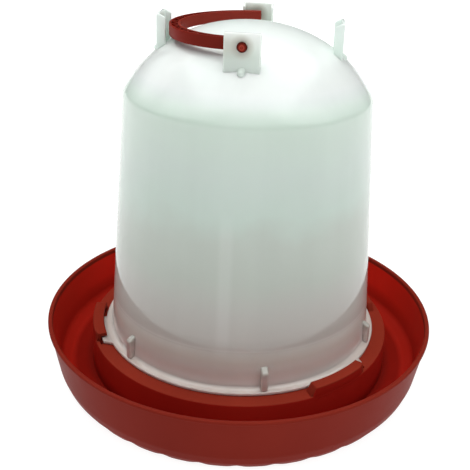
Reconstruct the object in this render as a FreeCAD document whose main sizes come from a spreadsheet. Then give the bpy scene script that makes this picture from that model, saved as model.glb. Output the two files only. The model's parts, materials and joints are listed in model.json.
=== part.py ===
"""Poultry drinker: a red tray, a translucent bell tank that twist-locks into it, and a carrying handle.

Frame: millimetres, +Z up, origin on the floor under the centre of the tray.
The handle's pivots lie along Y; it is folded down towards -X.
"""
import FreeCAD, Part
import Sketcher
import math
import os
from FreeCAD import Placement, Rotation, Vector

# Driving dimensions, in millimetres and degrees.
DIMENSIONS = {
    # tray
    "rim_radius": 180.0, "rim_height": 54.0, "rim_width": 3.8, "rim_depth": 3.5, "rim_edge": 1.0,
    "wall_top_radius": 178.7, "knee_radius": 171.7, "knee_height": 14.0, "knee_round": 30.0,
    "base_radius": 164.4, "wall": 3.0, "floor_under": 5.5, "floor_top": 8.5,
    "trough_radius": 160.5, "trough_knee": 16.0, "trough_round": 9.5,
    "foot_rib_inner": 30.0, "foot_rib_outer": 161.2, "foot_rib_wide": 3.0,
    # locking ring
    "ring_radius": 139.8, "ring_wall": 3.0, "ring_bore": 121.8, "shelf_top": 39.75, "shelf_thick": 3.0,
    "keeper_top": 47.5, "keeper_lip_bore": 129.8, "keeper_lip_under": 43.9, "keeper_pocket": 134.9,
    "keeper_start": 32.7, "keeper_span": 24.3, "keeper_cheek": 1.2, "keeper_ramp": 4.2,
    "slot_bore": 134.7, "slot_radius": 136.7, "slot_span": 5.6,
    "block_radius": 134.4, "block_bore": 128.4, "block_start": 102.8, "block_span": 12.0,
    "port_start": 25.0, "port_span": 10.0, "port_high": 8.0,
    # bell
    "bell_radius": 121.6, "bell_bottom": 44.5, "shoulder_radius": 108.76, "crown_radius": 125.8,
    "apex": 328.3, "shoulder_round": 13.5, "bell_wall": 2.6,
    "flange_radius": 127.5, "flange_under": 40.3, "flange_top": 42.7, "flange_flat": 126.2,
    "flange_round": 7.0, "skirt_radius": 121.0, "skirt_bottom": 20.0, "skirt_bore": 118.4,
    "lug_radius": 134.4, "lug_start": 40.8, "lug_span": 20.2, "lug_foot": 120.0,
    "buttress_wide": 6.0, "buttress_out": 126.4, "buttress_high": 15.5, "buttress_slope": 4.0,
    "buttress_start": 15.0,
    # ears
    "ear_face": 78.9, "ear_plate": 2.4, "ear_deep": 8.0, "ear_wide": 28.5, "ear_side": 2.2,
    "ear_top": 330.5, "ear_base": 285.0, "ear_hole_radius": 3.05,
    "knob_radius": 3.2, "knob_out": 2.0,
    # handle
    "pivot_height": 319.7, "handle_radius": 69.5, "arm_inner": 63.5, "arm_end": 5.5, "grip_shift": 3.5,
    "strap_half": 4.95, "strap_rise": 0.2, "web_half": 1.2, "strap_wall": 1.9, "channel_end": 8.0, "droop": 1.2,
    "grip_rib_wide": 1.6, "grip_rib_inner": 61.95, "grip_rib_outer": 68.5, "grip_rib_spread": 60.0,
    "stud_radius": 3.0, "stud_inner": 65.5, "stud_gap": 0.15, "head_radius": 4.2, "head_out": 3.2,
}

THIRDS = (0, 120, 240)
FOOT_RIBS = 12
BUTTRESSES = 6
WATER_PORTS = 3
GRIP_RIBS = 9
DOC = FreeCAD.newDocument("PoultryDrinker")


class Size:
    """A number together with the spreadsheet expression that gives it."""

    def __init__(self, value, text=None):
        self.value = float(value)
        self.text = repr(float(value)) if text is None else text

    def combine(self, other, sign, value):
        return Size(value, f"({self.text} {sign} {as_size(other).text})")

    def __add__(self, other):
        return self.combine(other, "+", self.value + as_size(other).value)

    def __sub__(self, other):
        return self.combine(other, "-", self.value - as_size(other).value)

    def __mul__(self, other):
        return self.combine(other, "*", self.value * as_size(other).value)

    def __truediv__(self, other):
        return self.combine(other, "/", self.value / as_size(other).value)

    def __neg__(self):
        return Size(-self.value, f"(0 - {self.text})")


def as_size(item):
    return item if isinstance(item, Size) else Size(item)


def free(guess):
    """A coordinate that the outline's other rules decide, with a first guess at it."""
    size = Size(guess)
    size.text = None
    return size


def fill_sheet():
    """Write every driving dimension into the spreadsheet, and return them as named sizes."""
    sheet = DOC.addObject("Spreadsheet::Sheet", "Sizes")
    sizes = {}
    for row, (name, value) in enumerate(DIMENSIONS.items(), start=1):
        sheet.set(f"A{row}", name)
        sheet.set(f"B{row}", str(value))
        sheet.setAlias(f"B{row}", name)
        sizes[name] = Size(value, f"Sizes.{name}")
    DOC.recompute()
    return sizes


def bind(item, **properties):
    """Set properties of a document object to sizes, and keep them tied to the sheet."""
    for name, size in properties.items():
        size = as_size(size)
        setattr(item, name, size.value)
        item.setExpression(name, size.text)


def place(item, x=0.0, y=0.0, z=0.0, turn=0.0):
    """Place an object, with its height and its turn about Z tied to the sheet."""
    x, y, z, turn = as_size(x), as_size(y), as_size(z), as_size(turn)
    item.Placement = Placement(Vector(x.value, y.value, z.value), Rotation(Vector(0, 0, 1), turn.value))
    item.setExpression("Placement.Base.x", x.text)
    item.setExpression("Placement.Base.y", y.text)
    item.setExpression("Placement.Base.z", z.text)
    item.setExpression("Placement.Rotation.Angle", turn.text)


# ---- Part primitives -------------------------------------------------------------------------

def drum(name, radius, low, high, start=0.0, span=360.0):
    """An upright cylinder between two heights, or a slice of one from a start angle."""
    item = DOC.addObject("Part::Cylinder", name)
    bind(item, Radius=radius, Height=as_size(high) - low, Angle=span)
    place(item, z=low, turn=start)
    return item


def cut(name, base, tool):
    item = DOC.addObject("Part::Cut", name)
    item.Base, item.Tool = base, tool
    return item


def fuse(name, items):
    item = DOC.addObject("Part::MultiFuse", name)
    item.Shapes = list(items)
    item.Refine = True
    return item


def hoop(name, outer, inner, low, high, start=0.0, span=360.0):
    """A tube, or an arc-shaped slice of one, between two radii and two heights."""
    solid = drum(name + "_full", outer, low, high, start, span)
    hole = drum(name + "_hole", inner, as_size(low) - 1, as_size(high) + 1)
    return cut(name, solid, hole)


def block(name, length, width, height, x, y, z):
    item = DOC.addObject("Part::Box", name)
    bind(item, Length=length, Width=width, Height=height)
    place(item, x, y, z)
    return item


# ---- PartDesign helpers ----------------------------------------------------------------------

def origin_plane(body, role):
    return [item for item in body.Origin.OriginFeatures if item.Role == role][0]


def add_line(sketch, start, end):
    """Draw a straight stretch, and return its number and the numbers of its two ends."""
    return sketch.addGeometry(Part.LineSegment(start, end), False), 1, 2


def add_arc(sketch, start, end, radius, side):
    """Draw an arc whose centre lies left (side 1) or right (side -1) of the way from start to end."""
    chord = end - start
    rise = math.sqrt(max(radius ** 2 - (chord.Length / 2) ** 2, 0.0))
    left = Vector(-chord.y, chord.x, 0).normalize()
    centre = (start + end) * 0.5 + left * (rise * side)
    first, last = (start, end) if side > 0 else (end, start)
    angles = [math.atan2(point.y - centre.y, point.x - centre.x) for point in (first, last)]
    if angles[1] < angles[0]:
        angles[1] += 2 * math.pi
    circle = Part.Circle(centre, Vector(0, 0, 1), radius)
    number = sketch.addGeometry(Part.ArcOfCircle(circle, *angles), False)
    return (number, 1, 2) if side > 0 else (number, 2, 1)


def pin_coordinate(sketch, rule, geometry, end, size):
    """Fix one coordinate of a point to a size, or to an axis when the size is plain zero."""
    if size.text is None:
        return
    if size.value == 0.0:
        axis = -2 if rule == "DistanceX" else -1
        sketch.addConstraint(Sketcher.Constraint("PointOnObject", geometry, end, axis))
        return
    number = sketch.addConstraint(Sketcher.Constraint(rule, -1, 1, geometry, end, size.value))
    sketch.setExpression(f"Constraints[{number}]", size.text)


def outline(body, name, plane, corners, arcs=None):
    """A closed sketch through the corners. arcs gives (radius, side) for the stretch after a corner."""
    sketch = body.newObject("Sketcher::SketchObject", name)
    sketch.AttachmentSupport = [(origin_plane(body, plane), "")]
    sketch.MapMode = "FlatFace"
    arcs = arcs or {}
    sizes = [(as_size(x), as_size(y)) for x, y in corners]
    points = [Vector(x.value, y.value, 0) for x, y in sizes]
    drawn = []
    for index, start in enumerate(points):
        end = points[(index + 1) % len(points)]
        if index in arcs:
            radius, side = arcs[index]
            drawn.append(add_arc(sketch, start, end, as_size(radius).value, side))
        else:
            drawn.append(add_line(sketch, start, end))
    for index, (number, _, last) in enumerate(drawn):
        following, first, _ = drawn[(index + 1) % len(drawn)]
        sketch.addConstraint(Sketcher.Constraint("Coincident", number, last, following, first))
    for (number, first, _), (x, y) in zip(drawn, sizes):
        pin_coordinate(sketch, "DistanceX", number, first, x)
        pin_coordinate(sketch, "DistanceY", number, first, y)
    for index, (radius, _) in arcs.items():
        radius = as_size(radius)
        if radius.text is None:
            continue
        rule = sketch.addConstraint(Sketcher.Constraint("Radius", drawn[index][0], radius.value))
        sketch.setExpression(f"Constraints[{rule}]", radius.text)
    return sketch, drawn


def revolve(body, sketch, kind="PartDesign::Revolution"):
    feature = body.newObject(kind, sketch.Name + "_turned")
    feature.Profile = sketch
    feature.ReferenceAxis = (sketch, ["V_Axis"])
    feature.Angle = 360
    sketch.Visibility = False
    return feature


def pad(body, sketch, length, middle=False):
    feature = body.newObject("PartDesign::Pad", sketch.Name + "_pad")
    feature.Profile = sketch
    feature.Midplane = middle
    bind(feature, Length=length)
    return feature


def polar_pattern(body, feature, count, angle=360.0):
    """Repeat a feature round the body's Z axis, and make the pattern the body's result."""
    pattern = body.newObject("PartDesign::PolarPattern", feature.Name + "_repeated")
    pattern.Originals = [feature]
    pattern.Axis = (origin_plane(body, "Z_Axis"), [""])
    pattern.Angle = angle
    pattern.Occurrences = count
    body.Tip = pattern
    return pattern


# ---- tray ------------------------------------------------------------------------------------

def make_tray_dish(d):
    """The open dish: flat floor, flared outer wall down to the ground, and a beaded rim."""
    body = DOC.addObject("PartDesign::Body", "tray_dish")
    bead_low = d["rim_height"] - d["rim_depth"]
    inner_rim = d["rim_radius"] - d["rim_width"]
    corners = [
        (0, d["floor_under"]),
        (d["base_radius"] - d["wall"] + 2, d["floor_under"]),
        (d["base_radius"] - d["wall"], 0),
        (d["base_radius"], 0),
        (d["knee_radius"], d["knee_height"]),
        (d["wall_top_radius"], bead_low),
        (d["rim_radius"], bead_low + d["rim_edge"]),
        (d["rim_radius"], d["rim_height"] - d["rim_edge"]),
        (d["rim_radius"] - d["rim_edge"], d["rim_height"]),
        (inner_rim + d["rim_edge"], d["rim_height"]),
        (inner_rim, d["rim_height"] - d["rim_edge"]),
        (d["knee_radius"] - d["wall"], d["trough_knee"]),
        (d["trough_radius"], d["floor_top"]),
        (0, d["floor_top"]),
    ]
    arcs = {3: (d["knee_round"], 1), 11: (d["trough_round"], -1)}
    sketch, _ = outline(body, "dish_profile", "XZ_Plane", corners, arcs)
    revolve(body, sketch)
    return body


def make_foot_ribs(d):
    """Radial ribs under the floor, as tall as the wall's foot, so they stand on the ground too."""
    ribs = [
        radial_rib(f"foot_rib_{number}", 360 / FOOT_RIBS * (number + 0.5), d["foot_rib_wide"],
                   (d["foot_rib_inner"], d["foot_rib_outer"]), (0, d["floor_under"], d["floor_under"]))
        for number in range(FOOT_RIBS)
    ]
    return fuse("tray_foot_ribs", ribs)


def radial_rib(name, turn, wide, reach, heights):
    """An upright rib pointing out from the Z axis. heights: its bottom, then its top inside and outside."""
    rib = DOC.addObject("Part::Wedge", name)
    half = as_size(wide) / 2
    bottom, top_inside, top_outside = heights
    bind(rib, Ymin=reach[0], Ymax=reach[1], Xmin=-half, Xmax=half, X2min=-half, X2max=half,
         Zmin=0, Zmax=as_size(top_inside) - bottom, Z2min=0, Z2max=as_size(top_outside) - bottom)
    place(rib, z=bottom, turn=turn)
    return rib


def make_locking_ring(d):
    """The ring that takes the bell: a shelf on a ported wall, three lipped keepers, two stop blocks."""
    shelf = hoop("ring_shelf", d["ring_radius"], d["ring_bore"],
                 d["shelf_top"] - d["shelf_thick"], d["shelf_top"])
    slots = [
        hoop(f"tip_slot_{number}", d["slot_radius"], d["slot_bore"], d["shelf_top"] - d["shelf_thick"] - 1,
             d["shelf_top"] + 1, d["keeper_start"] + d["keeper_span"] + turn - 90, d["slot_span"])
        for number, turn in enumerate(THIRDS)
    ]
    wall = hoop("ring_wall", d["ring_radius"], d["ring_radius"] - d["ring_wall"],
                d["floor_top"], d["shelf_top"])
    pieces = [wall, cut("slotted_shelf", shelf, fuse("tip_slots", slots))]
    pieces += [make_keeper(number, turn, d) for number, turn in enumerate(THIRDS)]
    for number, turn in enumerate(THIRDS[:2]):
        start = d["block_start"] + turn - 90
        pieces.append(hoop(f"stop_block_{number}", d["block_radius"], d["block_bore"],
                           d["shelf_top"], d["keeper_top"], start, d["block_span"]))
    solid = fuse("ring_solid", pieces)
    ports = [
        hoop(f"port_{number}", d["ring_radius"] + 2, d["ring_radius"] - d["ring_wall"] - 2,
             d["floor_top"] - 1, d["floor_top"] + d["port_high"],
             d["port_start"] + 360 / WATER_PORTS * number, d["port_span"])
        for number in range(WATER_PORTS)
    ]
    return cut("tray_locking_ring", solid, fuse("ports", ports))


def make_keeper(number, turn, d):
    """An arched keeper: a lip over a pocket that is closed at its first end, where a ramp leads up to it."""
    name = f"keeper_{number}"
    start = d["keeper_start"] + turn - 90
    lip = hoop(name + "_lip", d["ring_radius"], d["keeper_lip_bore"],
               d["shelf_top"], d["keeper_top"], start, d["keeper_span"])
    pocket = hoop(name + "_pocket", d["keeper_pocket"], d["keeper_lip_bore"] - 2, d["shelf_top"],
                  d["keeper_lip_under"], start + d["keeper_cheek"], d["keeper_span"])
    ramp = DOC.addObject("Part::Wedge", name + "_ramp")
    width = d["ring_radius"] - d["keeper_lip_bore"] - 0.3
    bind(ramp, Xmin=0, Xmax=width, X2min=0, X2max=width, Ymin=0, Ymax=d["keeper_top"] - d["shelf_top"],
         Zmin=0, Zmax=d["keeper_ramp"] + 1, Z2min=0, Z2max=1)
    upright = Rotation(Vector(0, 0, 1), start.value).multiply(Rotation(Vector(1, 0, 0), 90))
    foot = Rotation(Vector(0, 0, 1), start.value).multVec(
        Vector(d["keeper_lip_bore"].value + 0.1, 1.0, d["shelf_top"].value))
    ramp.Placement = Placement(foot, upright)
    return fuse(name, [cut(name + "_arch", lip, pocket), ramp])


# ---- bell ------------------------------------------------------------------------------------

def make_bell_shell(d):
    """The tank wall: a slightly tapered cone that rounds over into a spherical crown."""
    body = DOC.addObject("PartDesign::Body", "bell_shell")
    rise = math.sqrt(d["crown_radius"].value ** 2 - d["shoulder_radius"].value ** 2)
    shoulder_z = d["apex"].value - d["crown_radius"].value + rise
    thick = d["bell_wall"]
    corners = [
        (d["bell_radius"], d["bell_bottom"]),
        (d["shoulder_radius"], free(shoulder_z)),
        (0, d["apex"]),
        (0, d["apex"] - thick),
        (d["shoulder_radius"] - thick, free(shoulder_z - thick.value / 2)),
        (d["bell_radius"] - thick, d["bell_bottom"]),
    ]
    arcs = {1: (d["crown_radius"], 1), 3: (d["crown_radius"] - thick, -1)}
    sketch, drawn = outline(body, "bell_profile", "XZ_Plane", corners, arcs)
    for index in arcs:
        sketch.addConstraint(Sketcher.Constraint("PointOnObject", drawn[index][0], 3, -2))
    turned = revolve(body, sketch)
    DOC.recompute()
    outside = round_over(body, "shoulder_outside", turned, d["shoulder_radius"], d["shoulder_round"])
    round_over(body, "shoulder_inside", outside, d["shoulder_radius"] - thick, d["shoulder_round"] - thick)
    return body


def round_over(body, name, feature, edge_radius, radius):
    """Fillet the circular edge of this radius."""
    fillet = body.newObject("PartDesign::Fillet", name)
    fillet.Base = (feature, round_edges(feature.Shape, edge_radius.value))
    bind(fillet, Radius=radius)
    body.Tip = fillet
    DOC.recompute()
    return fillet


def round_edges(shape, radius):
    """Names of the full circles of this radius about the Z axis."""
    names = []
    for number, edge in enumerate(shape.Edges, start=1):
        if edge.Degenerated or not isinstance(edge.Curve, Part.Circle):
            continue
        if abs(edge.Curve.Radius - radius) < 0.01 and abs(edge.Curve.Axis.z) > 0.99:
            names.append(f"Edge{number}")
    return names


def make_bell_flange(d):
    """The foot of the bell: skirt, outward flange with a round fillet to the wall, and three lugs."""
    body = DOC.addObject("PartDesign::Body", "flange_turned")
    corners = [
        (d["skirt_bore"], d["skirt_bottom"]), (d["skirt_radius"], d["skirt_bottom"]),
        (d["skirt_radius"], d["flange_under"]), (d["flange_radius"], d["flange_under"]),
        (d["flange_radius"], d["flange_top"]), (d["flange_flat"], d["flange_top"]),
        (d["bell_radius"], d["bell_bottom"]), (d["skirt_bore"], d["bell_bottom"]),
    ]
    sketch, _ = outline(body, "flange_profile", "XZ_Plane", corners, {5: (d["flange_round"], -1)})
    revolve(body, sketch)
    lugs = [
        hoop(f"lug_{number}", d["lug_radius"], d["lug_foot"], d["flange_under"], d["flange_top"],
             d["lug_start"] + turn - 90, d["lug_span"])
        for number, turn in enumerate(THIRDS)
    ]
    return fuse("bell_flange", [body] + lugs)


def bell_outside(name, d):
    """The bell's outer cone, from its bottom up to the shoulder, as a cutting tool."""
    cone = DOC.addObject("Part::Cone", name)
    rise = math.sqrt(d["crown_radius"].value ** 2 - d["shoulder_radius"].value ** 2)
    shoulder_z = d["apex"] - d["crown_radius"] + rise
    bind(cone, Radius1=d["bell_radius"], Radius2=d["shoulder_radius"], Height=shoulder_z - d["bell_bottom"])
    place(cone, z=d["bell_bottom"])
    return cone


def make_buttresses(d):
    """Six short upright ribs that stand on the flange against the bell wall, sloping down outwards."""
    low = d["bell_bottom"]
    high = low + d["buttress_high"]
    ribs = [
        radial_rib(f"buttress_{number}", d["buttress_start"] + 360 / BUTTRESSES * number + 180,
                   d["buttress_wide"], (d["bell_radius"] - 3, d["buttress_out"]),
                   (low, high + d["buttress_slope"], high))
        for number in range(BUTTRESSES)
    ]
    return cut("bell_buttresses", fuse("buttress_group", ribs), bell_outside("buttress_seat", d))


def make_ear(name, turn, pierced, d):
    """An upright channel on the crown: a face plate with two side walls, and a small knob below it."""
    half = d["ear_wide"] / 2
    high = d["ear_top"] - d["ear_base"]
    back = d["ear_face"] - d["ear_deep"]
    plate = block(name + "_plate", d["ear_wide"], d["ear_plate"], high,
                  -half, -d["ear_face"], d["ear_base"])
    left = block(name + "_left", d["ear_side"], d["ear_deep"], high, -half, -d["ear_face"], d["ear_base"])
    right = block(name + "_right", d["ear_side"], d["ear_deep"], high,
                  half - d["ear_side"], -d["ear_face"], d["ear_base"])
    knob = DOC.addObject("Part::Sphere", name + "_knob")
    bind(knob, Radius=d["knob_radius"])
    reach = d["ear_face"] + d["knob_out"]
    sphere_rise = math.sqrt(d["crown_radius"].value ** 2 - reach.value ** 2)
    place(knob, y=-reach, z=d["apex"] - d["crown_radius"] + sphere_rise)
    solid = fuse(name + "_solid", [plate, left, right, knob])
    if pierced:
        hole = DOC.addObject("Part::Cylinder", name + "_hole")
        bind(hole, Radius=d["ear_hole_radius"], Height=d["ear_deep"] + 5)
        height = d["pivot_height"]
        hole.Placement = Placement(Vector(0, -back.value, height.value), Rotation(Vector(1, 0, 0), 90))
        hole.setExpression("Placement.Base.y", (-back).text)
        hole.setExpression("Placement.Base.z", height.text)
        solid = cut(name + "_pierced", solid, hole)
    ball = DOC.addObject("Part::Sphere", name + "_seat")
    bind(ball, Radius=d["crown_radius"])
    place(ball, z=d["apex"] - d["crown_radius"])
    ear = cut(name, solid, ball)
    ear.Placement = Placement(Vector(), Rotation(Vector(0, 0, 1), turn))
    return ear


# ---- handle ----------------------------------------------------------------------------------

def pivot_placement(d):
    """The pivot line, with the handle folded over a little past level."""
    turn = Rotation(Vector(0, 1, 0), -d["droop"].value)
    return Placement(Vector(0, 0, d["pivot_height"].value), turn)


def make_handle(d):
    """A half-round strap, deeper at the grip, hollowed from above and below with cross ribs left in."""
    body = DOC.addObject("PartDesign::Body", "handle")
    reach, arm = d["handle_radius"], d["arm_inner"]
    corners = [
        (0, reach), (0, free(-reach.value)), (d["arm_end"], -reach), (d["arm_end"], -arm),
        (0, -arm), (0, free(arm.value)), (d["arm_end"], arm), (d["arm_end"], reach),
    ]
    arcs = {0: (free(reach.value), 1), 4: (free(math.hypot(arm.value, d["grip_shift"].value)), -1)}
    sketch, drawn = outline(body, "strap", "XY_Plane", corners, arcs)
    centre_arc(sketch, drawn[0][0], 0)
    centre_arc(sketch, drawn[4][0], d["grip_shift"])
    pad(body, sketch, d["strap_half"] * 2, middle=True)
    cut_channels(body, d)
    add_grip_ribs(body, d)
    bore = stud_bore(body, d)
    through(body, bore, reach * 2 + 10)
    body.Placement = pivot_placement(d).multiply(Placement(Vector(0, 0, d["strap_rise"].value), Rotation()))
    return body


def centre_arc(sketch, geometry, shift):
    """Put an arc's centre on the X axis, this far from the origin."""
    sketch.addConstraint(Sketcher.Constraint("PointOnObject", geometry, 3, -1))
    pin_coordinate(sketch, "DistanceX", geometry, 3, as_size(shift))


def stud_bore(body, d):
    """A circle for the stud's bore, just below the strap's middle."""
    sketch = body.newObject("Sketcher::SketchObject", "stud_bore")
    sketch.AttachmentSupport = [(origin_plane(body, "XZ_Plane"), "")]
    sketch.MapMode = "FlatFace"
    radius, drop = d["stud_radius"], -d["strap_rise"]
    circle = Part.Circle(Vector(0, drop.value, 0), Vector(0, 0, 1), radius.value)
    number = sketch.addGeometry(circle, False)
    pin_coordinate(sketch, "DistanceX", number, 3, as_size(0))
    pin_coordinate(sketch, "DistanceY", number, 3, drop)
    rule = sketch.addConstraint(Sketcher.Constraint("Radius", number, radius.value))
    sketch.setExpression(f"Constraints[{rule}]", radius.text)
    return sketch


def through(body, sketch, length):
    """Cut a sketch right through the body, half the length to each side of its plane."""
    pocket = body.newObject("PartDesign::Pocket", sketch.Name + "_cut")
    pocket.Profile = sketch
    pocket.Midplane = True
    bind(pocket, Length=length)
    body.Tip = pocket
    return pocket


def channel_outline(body, name, d):
    """The hollow between the strap's two walls, seen from above."""
    outer = d["handle_radius"] - d["strap_wall"]
    inner = math.hypot(d["arm_inner"].value, d["grip_shift"].value) + d["strap_wall"].value
    end = d["channel_end"]
    outer_y = math.sqrt(outer.value ** 2 - end.value ** 2)
    inner_y = math.sqrt(inner ** 2 - (end.value + d["grip_shift"].value) ** 2)
    corners = [(-end, free(outer_y)), (-end, free(-outer_y)), (-end, free(-inner_y)), (-end, free(inner_y))]
    arcs = {0: (outer, 1), 2: (inner, -1)}
    sketch, drawn = outline(body, name, "XY_Plane", corners, arcs)
    centre_arc(sketch, drawn[0][0], 0)
    centre_arc(sketch, drawn[2][0], d["grip_shift"])
    return sketch


def cut_channels(body, d):
    """Hollow the strap right through, then put its middle web back."""
    through(body, channel_outline(body, "channel", d), d["strap_half"] * 3)
    pad(body, channel_outline(body, "web", d), d["web_half"] * 2, middle=True)


def add_grip_ribs(body, d):
    """Cross ribs between the strap's walls, fanned over the grip."""
    half = d["grip_rib_wide"] / 2
    corners = [
        (-d["grip_rib_outer"], -half), (-d["grip_rib_inner"], -half),
        (-d["grip_rib_inner"], half), (-d["grip_rib_outer"], half),
    ]
    sketch, _ = outline(body, "grip_rib", "XY_Plane", corners)
    spread = -d["grip_rib_spread"]
    sketch.AttachmentOffset = Placement(Vector(), Rotation(Vector(0, 0, 1), spread.value))
    sketch.setExpression("AttachmentOffset.Rotation.Angle", spread.text)
    rib = pad(body, sketch, d["strap_half"] * 2 - 0.6, middle=True)
    polar_pattern(body, rib, GRIP_RIBS, 2 * d["grip_rib_spread"].value)


def make_stud(name, quarter_turn, d):
    """A pivot stud through the strap's arm and the ear, with a domed head."""
    body = DOC.addObject("PartDesign::Body", name)
    shoulder = d["ear_face"] + d["stud_gap"] - d["stud_inner"]
    tip = shoulder + d["head_out"]
    corners = [
        (0, 0), (d["stud_radius"], 0), (d["stud_radius"], shoulder), (d["head_radius"], shoulder), (0, tip),
    ]
    dome = d["head_out"].value / 2 + d["head_radius"].value ** 2 / (2 * d["head_out"].value)
    sketch, drawn = outline(body, name + "_profile", "XZ_Plane", corners, {3: (free(dome), 1)})
    sketch.addConstraint(Sketcher.Constraint("PointOnObject", drawn[3][0], 3, -2))
    revolve(body, sketch)
    lay_down = Rotation(Vector(1, 0, 0), quarter_turn)
    start = lay_down.multVec(Vector(0, 0, d["stud_inner"].value))
    body.Placement = pivot_placement(d).multiply(Placement(start, lay_down))
    return body


def check_and_write(nodes):
    DOC.recompute()
    broken = [item.Label for item in DOC.Objects if {"Invalid", "Error"} & set(item.State)]
    if broken:
        raise RuntimeError(f"these objects failed: {broken}")
    os.makedirs("parts", exist_ok=True)
    for node in nodes:
        shape = node.Shape
        if shape.isNull() or not shape.isValid():
            raise RuntimeError(f"{node.Label} has no valid shape")
        shape.exportStep(f"parts/{node.Label}.step")
        box = shape.BoundBox
        print(f"{node.Label:22s} solids {len(shape.Solids)}  volume {shape.Volume / 1000:8.2f} cm3  "
              f"z {box.ZMin:7.2f}..{box.ZMax:7.2f}  x {box.XMin:8.2f}..{box.XMax:8.2f}  "
              f"y {box.YMin:8.2f}..{box.YMax:8.2f}")


def main():
    sizes = fill_sheet()
    nodes = [
        make_tray_dish(sizes),
        make_foot_ribs(sizes),
        make_locking_ring(sizes),
        make_bell_shell(sizes),
        make_bell_flange(sizes),
        make_buttresses(sizes),
        make_ear("ear_front", 0, True, sizes),
        make_ear("ear_right", 90, False, sizes),
        make_ear("ear_back", 180, True, sizes),
        make_ear("ear_left", 270, False, sizes),
        make_handle(sizes),
        make_stud("pivot_stud_front", 90, sizes),
        make_stud("pivot_stud_back", -90, sizes),
    ]
    check_and_write(nodes)


main()
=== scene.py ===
"""Looks for the poultry drinker: red moulded tray, milky polyethylene bell tank, red folding handle."""
import bpy
import bmesh
import json
import math
from mathutils import Matrix, Vector


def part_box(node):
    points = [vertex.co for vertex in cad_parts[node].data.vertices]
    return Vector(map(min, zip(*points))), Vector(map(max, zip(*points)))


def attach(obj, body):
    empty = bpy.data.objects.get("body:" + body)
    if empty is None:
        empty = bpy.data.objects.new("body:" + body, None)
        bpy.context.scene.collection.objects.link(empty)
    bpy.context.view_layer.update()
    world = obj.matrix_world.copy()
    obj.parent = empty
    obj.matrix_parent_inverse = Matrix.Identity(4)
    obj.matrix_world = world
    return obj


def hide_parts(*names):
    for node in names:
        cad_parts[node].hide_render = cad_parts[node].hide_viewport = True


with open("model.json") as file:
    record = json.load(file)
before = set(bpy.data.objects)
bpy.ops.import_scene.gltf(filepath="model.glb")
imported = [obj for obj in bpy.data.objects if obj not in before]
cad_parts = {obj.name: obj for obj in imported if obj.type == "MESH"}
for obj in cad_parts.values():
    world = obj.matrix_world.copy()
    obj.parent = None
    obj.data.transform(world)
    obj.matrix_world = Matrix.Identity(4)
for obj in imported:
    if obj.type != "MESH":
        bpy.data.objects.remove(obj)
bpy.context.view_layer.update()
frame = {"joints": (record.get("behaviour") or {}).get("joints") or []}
MM = 0.001

# ---- places and sizes read from the frame, in millimetres -------------------------------------


def span(node):
    """Lowest and highest corner of a CAD node, in millimetres."""
    low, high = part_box(node)
    return Vector(low) / MM, Vector(high) / MM


DISH_HIGH = span("tray_dish")[1]
RING_LOW, RING_HIGH = span("tray_locking_ring")
SHELL_LOW, SHELL_HIGH = span("bell_shell")
FLANGE_LOW = span("bell_flange")[0]
EAR_HIGH = span("ear_front")[1]

RIM_R, RIM_Z = DISH_HIGH.x, DISH_HIGH.z
FLOOR_Z, RING_TOP = RING_LOW.z, RING_HIGH.z
BELL_R, BELL_Z, APEX = SHELL_HIGH.x, SHELL_LOW.z, SHELL_HIGH.z
SKIRT_Z = FLANGE_LOW.z
EAR_HALF, EAR_TOP = EAR_HIGH.x, EAR_HIGH.z
PIVOT = [joint for joint in frame["joints"] if joint["name"] == "handle_fold"][0]["pos_m"][2] / MM

# ---- sizes of the mouldings, in millimetres and degrees ---------------------------------------
# _R is a radius, _Z a height above the floor, _START and _END a bearing from -Y towards +X

# tray: dish and foot
WALL = 3.0
FOOT_R, KNEE_R, KNEE_Z = RIM_R - 15.6, RIM_R - 8.3, 14.0
TRAY_UNDER = 5.5
BEAD_DEPTH, BEAD_OUT, BEAD_WIDTH = 3.1, 1.3, 3.9
SCALLOPS, SCALLOP_DEPTH, SCALLOP_HIGH = 34, 1.2, 4.0
FOOT_RIBS, RIB_INNER, RIB_HALF, RIB_TOP = 12, 28.0, 1.5, 5.8
HOOP_RADII, HOOP_HALF, HOOP_LOW = (60.0, 110.0), 1.2, 1.2

# tray: locking ring, with three keepers, their slots, and two stop blocks
THIRD = 120.0
SHELF_R, SHELF_Z, SHELF_THICK = 140.0, RING_TOP - 7.75, 3.0
RING_BORE = 121.8
RING_SUNK = 0.5
KEEPER_R, LIP_R, POCKET_R = 139.6, 129.8, 134.9
KEEPER_START, KEEPER_SPAN, KEEPER_LEAN = 32.7, 24.3, 1.9
KEEPER_CHEEK, POCKET_START, LIP_THICK = 1.2, 1.9, 3.6
TIP_DRAW, TIP_FROM = 2.2, 0.82      # a keeper's edge draws in by this much, from this share of its length
SLOT_IN, SLOT_OUT, SLOT_SPAN = 134.6, 136.8, 2.5
BLOCK_R, BLOCK_BORE, BLOCK_START, BLOCK_END, BLOCK_LEAN = 134.2, 128.4, 104.4, 114.6, 2.0

# bell: wall, crown, flange with three lugs, buttresses
TANK_WALL, CROWN_R, SHOULDER_R, SHOULDER_ROUND = 2.6, 125.8, 108.76, 13.5
CROWN_FLAT, CROWN_FLAT_R = 2.4, 90.0
SEAM_Z, SEAM_HALF = BELL_Z + 32.0, 1.6
SEAM_RIDGE = ((-0.9, 0.02), (-0.4, 0.08), (0.0, 0.12), (0.4, 0.08), (0.9, 0.02))    # (up, out) from the wall
FLANGE_R, FLANGE_UNDER, FLANGE_TOP, FLANGE_EDGE = 127.5, 39.95, 42.7, 1.4
SKIRT_R, SKIRT_BORE = 121.0, 118.4
LUG_R, LUG_START, LUG_END, LUG_RISE, LUG_TAPER = 134.4, 40.8, 61.7, 0.6, 2.2
BUTTRESSES, BUTTRESS_START, BUTTRESS_R, BUTTRESS_HALF = 6, 15, 126.4, 3.0

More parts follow.
